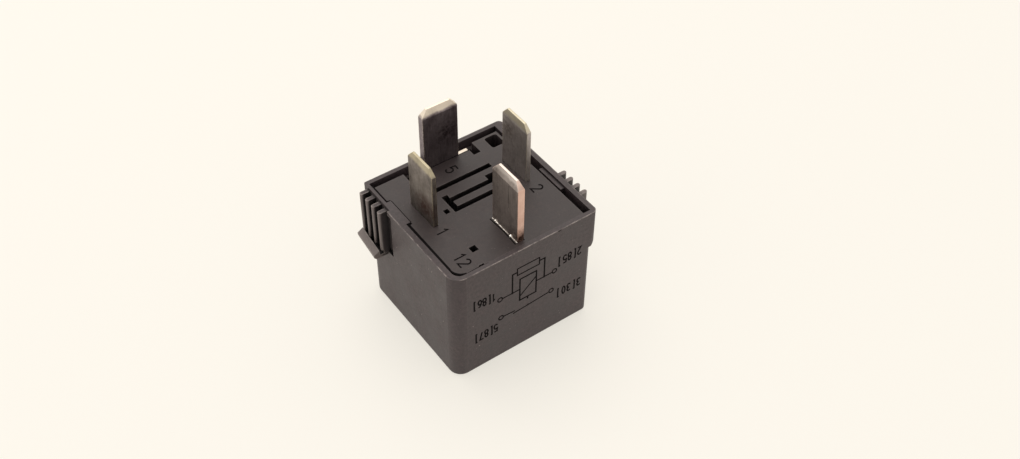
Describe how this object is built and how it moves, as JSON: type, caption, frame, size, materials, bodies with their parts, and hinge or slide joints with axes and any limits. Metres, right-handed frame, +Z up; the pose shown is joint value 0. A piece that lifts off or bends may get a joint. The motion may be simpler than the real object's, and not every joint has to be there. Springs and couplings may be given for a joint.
{
  "type": "automotive relay",
  "caption": "Plug-in automotive relay: square black cover with bracket ribs, base plate with flat blade terminals, and a hinged-armature magnet with contacts inside",
  "frame": {"origin": "centre of the closed end of the cover, in the plane it stands on; the middle lies on the cover body, without its side ribs", "axes": "Z up along the blades, out of the plug side; -Y is the side that carries the printed connection diagram and blade 3; +X is the side of blade 2"},
  "size_m": [0.0316, 0.0254, 0.0333],
  "materials": {
    "cover_plastic": "moulded black glass-filled nylon, slightly dusty, matte",
    "base_plastic": "moulded black glass-filled polyester, matte",
    "tinned_brass": "dull matte tin plating over brass, mottled with use",
    "tinned_copper": "dull matte tin plating over copper alloy, plating worn off the edges",
    "magnet_steel": "thin zinc plating over soft iron",
    "bobbin_plastic": "natural nylon",
    "coil_copper": "enamelled copper wire",
    "resistor_ceramic": "lacquered ceramic",
    "lead_wire": "tinned copper wire",
    "spring_bronze": "rolled copper alloy strip",
    "rivet_steel": "plated steel",
    "contact_silver": "silver alloy contact button"
  },
  "bodies": {
    "housing": {"cover": "cover_plastic", "base_plate": "base_plastic", "terminal_1": "tinned_brass", "terminal_2": "tinned_brass", "terminal_3": "tinned_copper", "terminal_5": "tinned_brass", "yoke": "magnet_steel", "core": "magnet_steel", "bobbin": "bobbin_plastic", "coil_winding": "coil_copper", "coil_lead_1": "coil_copper", "coil_lead_2": "coil_copper", "resistor": "resistor_ceramic", "resistor_lead_1": "lead_wire", "resistor_lead_2": "lead_wire", "hinge_spring": "spring_bronze", "yoke_rivet_left": "rivet_steel", "yoke_rivet_right": "rivet_steel", "fixed_contact": "contact_silver", "rest_stop": "magnet_steel"},
    "armature_group": {"armature": "magnet_steel", "contact_spring": "spring_bronze", "armature_rivet_left": "rivet_steel", "armature_rivet_right": "rivet_steel", "moving_contact": "contact_silver"}
  },
  "joints": [
    {"name": "armature_hinge", "type": "hinge", "parent": "housing", "child": "armature_group", "pos_m": [0, -0.00965, 0.00572], "axis": [1, 0, 0], "range_deg": [0, 4], "stiffness_Nm_per_rad": 0.02, "springref_deg": -2.86}
  ]
}
